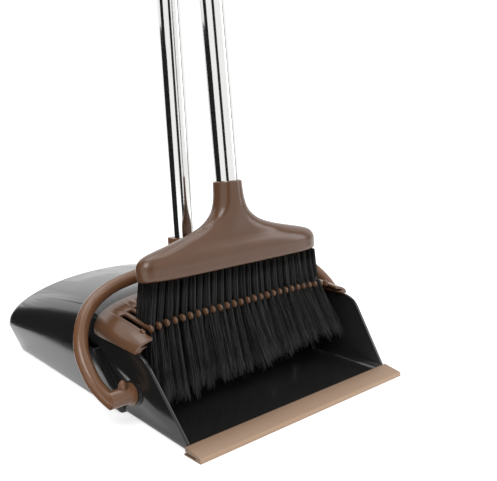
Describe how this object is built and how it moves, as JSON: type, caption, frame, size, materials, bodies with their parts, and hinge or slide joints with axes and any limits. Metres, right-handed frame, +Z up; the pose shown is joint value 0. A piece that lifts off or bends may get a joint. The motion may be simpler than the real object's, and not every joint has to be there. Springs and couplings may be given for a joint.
{
  "type": "dustpan and broom set",
  "caption": "Long-handled dustpan with swinging hood pan, combed rear rim and hinged bow, holding an upright broom in its mouth and clip",
  "frame": {"origin": "on the floor, directly below the middle of the pan's hinge line", "axes": "+Z up; the pan's mouth faces -Y and its closed end +Y; X is along the lip, across the plane of symmetry"},
  "size_m": [0.33, 0.361, 1.2425],
  "materials": {
    "black_gloss": "glossy moulded polypropylene",
    "brown_gloss": "semi-gloss moulded plastic",
    "lip_rubber": "soft satin rubber",
    "tube_metal": "polished",
    "grip_black": "satin",
    "bristle_black": "satin synthetic fibre"
  },
  "bodies": {
    "pan": {"pan_body": "black_gloss", "pan_lip": "lip_rubber", "comb": "brown_gloss"},
    "handle": {"bow": "brown_gloss", "pan_tube_lower": "tube_metal", "pan_collar_lower": "brown_gloss", "pan_tube_middle": "tube_metal", "pan_collar_upper": "brown_gloss", "pan_tube_upper": "tube_metal", "pan_grip": "grip_black", "broom_clip": "grip_black"},
    "broom": {"broom_head": "brown_gloss", "bristles": "bristle_black", "broom_tube_lower": "tube_metal", "broom_collar_lower": "brown_gloss", "broom_tube_middle": "tube_metal", "broom_collar_middle": "brown_gloss", "broom_tube_upper": "tube_metal", "broom_collar_upper": "brown_gloss", "broom_tube_top": "tube_metal", "broom_grip": "grip_black"}
  },
  "joints": [
    {"name": "pan_swing", "type": "hinge", "parent": "pan", "child": "handle", "pos_m": [0, 0, 0.0305], "axis": [1, 0, 0], "range_deg": [0, 92]},
    {"name": "broom_lift", "type": "slide", "parent": "handle", "child": "broom", "axis": [0, 0.0924, 0.9957], "range_m": [0, 0.19]}
  ]
}
